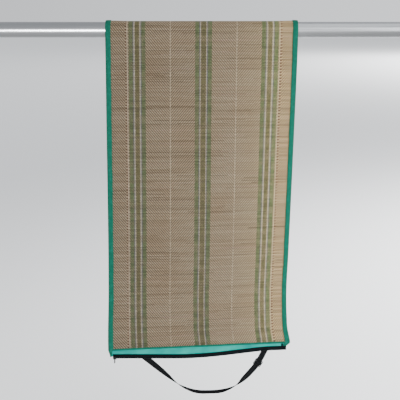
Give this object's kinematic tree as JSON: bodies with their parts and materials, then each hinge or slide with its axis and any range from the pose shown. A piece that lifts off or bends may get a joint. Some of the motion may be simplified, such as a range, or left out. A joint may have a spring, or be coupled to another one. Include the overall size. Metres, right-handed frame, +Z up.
{
  "type": "beach mat over a rail",
  "caption": "Woven straw beach mat with bound edges, a zipped cloth strip and a carrying strap, hanging over a round metal rail.",
  "frame": {"origin": "centre of the rail's left end face, seen by someone facing the mat's long hanging side", "axes": "+X along the rail to the right, -Y towards that person, +Z up"},
  "size_m": [1.4, 0.167, 1.2338],
  "materials": {
    "straw": "woven straw in a herringbone twill, with green, white and olive stripes",
    "teal_tape": "woven cotton binding tape",
    "aqua_cloth": "thin smooth woven cloth",
    "zip_tape": "woven zip tape",
    "zip_coil": "moulded nylon coil",
    "slider_metal": "cast zinc, painted black and worn at its edges",
    "webbing": "ribbed woven webbing",
    "slide_plastic": "moulded, faintly grained",
    "rail_metal": "satin, drawn lengthwise"
  },
  "bodies": {
    "root": {"mat": "straw", "side_binding_left": "teal_tape", "side_binding_right": "teal_tape", "end_binding_front": "teal_tape", "end_binding_back": "teal_tape", "zip_strip": "aqua_cloth", "zip_tape": "zip_tape", "zip_coil": "zip_coil", "zip_slider": "slider_metal", "zip_puller": "slider_metal", "strap": "webbing", "buckle": "slide_plastic", "rail": "rail_metal"}
  },
  "joints": []
}
